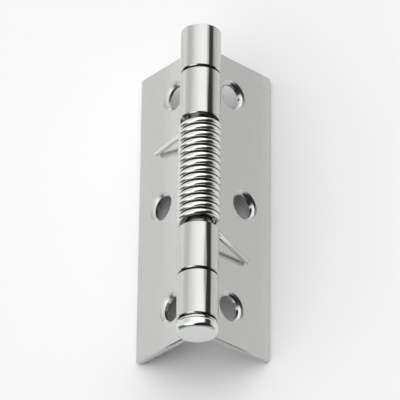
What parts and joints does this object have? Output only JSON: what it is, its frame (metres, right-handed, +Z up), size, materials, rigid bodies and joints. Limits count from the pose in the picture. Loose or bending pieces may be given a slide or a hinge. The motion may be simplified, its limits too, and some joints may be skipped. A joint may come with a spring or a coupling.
{
  "type": "spring loaded door hinge",
  "caption": "Self-closing butt hinge: two rolled leaves with countersunk screw holes on a headed pin, with a torsion spring coiled round the pin between the middle knuckles.",
  "frame": {"origin": "middle of the footprint, on the surface that the folded leaves stand on", "axes": "+Z up, through the barrel; +Y along the pin, away from its head; +X towards the leaf that carries the inner knuckles"},
  "size_m": [0.031, 0.0796, 0.0277],
  "materials": {
    "leaf_plating": "polished nickel plate on steel sheet",
    "pin_plating": "polished nickel plate on turned steel",
    "washer_plating": "nickel plate on steel",
    "spring_wire": "bright plated spring wire"
  },
  "bodies": {
    "outer_leaf": {"outer_knuckle_leaf": "leaf_plating", "hinge_pin": "pin_plating", "pin_washer": "washer_plating", "torsion_spring": "spring_wire"},
    "inner_leaf": {"inner_knuckle_leaf": "leaf_plating"}
  },
  "joints": [
    {"name": "leaf_fold", "type": "hinge", "parent": "outer_leaf", "child": "inner_leaf", "pos_m": [0, 0.0015, 0.02267], "axis": [0, -1, 0], "range_deg": [0, 288], "stiffness_Nm_per_rad": 0.09, "springref_deg": -34.38, "deforming": ["torsion_spring"]}
  ]
}
